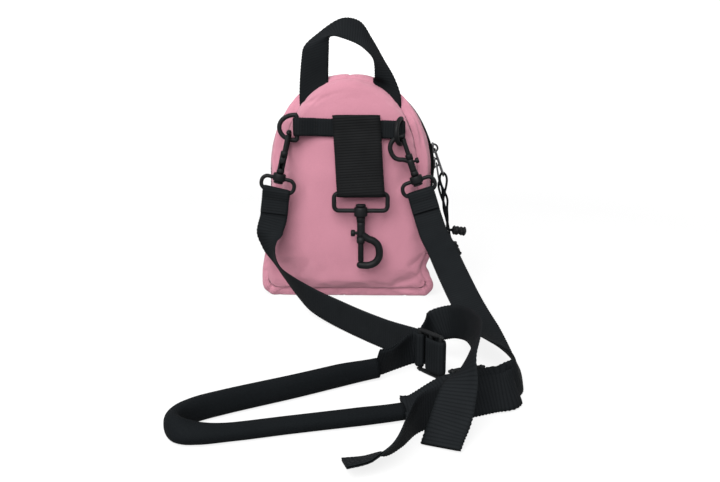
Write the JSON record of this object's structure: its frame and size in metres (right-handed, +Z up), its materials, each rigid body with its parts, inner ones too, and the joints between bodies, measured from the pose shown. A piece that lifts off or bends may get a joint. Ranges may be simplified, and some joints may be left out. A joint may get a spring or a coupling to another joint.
{
  "type": "mini backpack",
  "caption": "Small arched backpack seen from its back, with grab handle, webbing flap with snap hook, D-rings and a removable strap with folded grip lying behind it.",
  "frame": {"origin": "on the floor under the middle of the bag, halfway between its back and front seams", "axes": "+Z up, -Y out of the back panel towards the strap, +X to the right as seen from the back"},
  "size_m": [0.2459, 0.4572, 0.2778],
  "materials": {
    "pink_cloth": "woven polyester, matte",
    "black_webbing": "ribbed webbing, matte",
    "grip_cloth": "woven cover over foam, matte",
    "zip_tape": "zip tape, matte",
    "black_plastic": "moulded, satin",
    "zip_metal": "dark nickel, satin"
  },
  "bodies": {
    "bag": {"back_panel": "pink_cloth", "front_panel": "pink_cloth", "rear_gusset": "pink_cloth", "main_zip": "zip_tape", "front_gusset": "pink_cloth", "base_gusset": "pink_cloth", "grab_handle": "black_webbing", "ring_band": "black_webbing", "belt_flap": "black_webbing", "d_ring_left": "black_plastic", "d_ring_right": "black_plastic", "left_loop": "black_plastic", "left_hook": "black_plastic", "right_loop": "black_plastic", "right_hook": "black_plastic", "strap_left": "black_webbing", "strap_right": "black_webbing", "grip": "grip_cloth", "grip_tab_left": "black_webbing", "grip_tab_right": "black_webbing", "adjuster_left": "black_plastic", "adjuster_right": "black_plastic", "slider_upper": "zip_metal", "pull_wire_upper": "zip_metal", "pull_cord_upper": "black_webbing", "pull_grip_upper": "black_plastic", "slider_lower": "zip_metal", "pull_wire_lower": "zip_metal", "pull_cord_lower": "black_webbing", "pull_grip_lower": "black_plastic", "zip_end_tab": "black_webbing"},
    "centre_loop": {"centre_loop": "black_plastic"},
    "centre_hook": {"centre_hook": "black_plastic"},
    "centre_gate": {"centre_gate": "black_plastic"},
    "left_gate": {"left_gate": "black_plastic"},
    "right_gate": {"right_gate": "black_plastic"}
  },
  "joints": [
    {"name": "hook_swing", "type": "hinge", "parent": "bag", "child": "centre_loop", "pos_m": [0.0116, -0.059, 0.111], "axis": [-1, 0, 0], "range_deg": [-3, 100]},
    {"name": "hook_swivel", "type": "hinge", "parent": "centre_loop", "child": "centre_hook", "pos_m": [0.0116, -0.059, 0.094], "axis": [0, 0, -1], "range_deg": [0, 180]},
    {"name": "centre_gate_slide", "type": "slide", "parent": "centre_hook", "child": "centre_gate", "axis": [0, 0, 1], "range_m": [0, 0.008], "stiffness_N_per_m": 150, "springref_m": -0.002},
    {"name": "left_gate_slide", "type": "slide", "parent": "bag", "child": "left_gate", "axis": [-0.223, 0, -0.9748], "range_m": [0, 0.0065], "stiffness_N_per_m": 150, "springref_m": -0.002},
    {"name": "right_gate_slide", "type": "slide", "parent": "bag", "child": "right_gate", "axis": [0.3201, 0, -0.9474], "range_m": [0, 0.0065], "stiffness_N_per_m": 150, "springref_m": -0.002}
  ]
}
